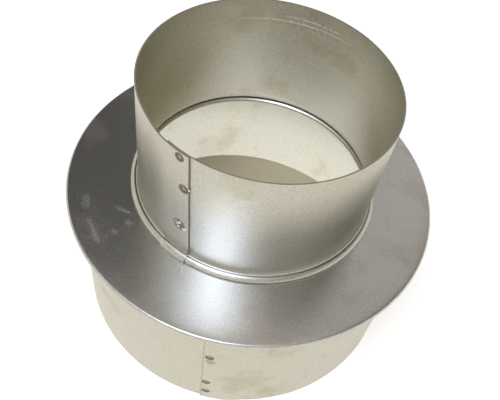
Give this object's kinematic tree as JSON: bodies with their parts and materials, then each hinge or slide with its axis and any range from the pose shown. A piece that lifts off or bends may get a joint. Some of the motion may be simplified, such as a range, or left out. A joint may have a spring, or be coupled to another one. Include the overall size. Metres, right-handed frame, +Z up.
{
  "type": "stove pipe extension",
  "caption": "Stepped stove pipe extension: a narrow and a wide rolled sheet-steel collar seamed to a flat ring plate, leading flue gas from one pipe size to another.",
  "frame": {"origin": "centre of the large collar's foot rim, on the surface that it stands on", "axes": "+Z up along the pipe's axis, from the wide collar to the narrow one; -Y faces the viewer, with both lap seams on that side"},
  "size_m": [0.161, 0.161, 0.1255],
  "materials": {
    "aluminised_steel": "hot-dip aluminised, dull satin with a faint warm mottle"
  },
  "bodies": {
    "root": {"small_collar": "aluminised_steel", "ring_plate": "aluminised_steel", "large_collar": "aluminised_steel"}
  },
  "joints": []
}
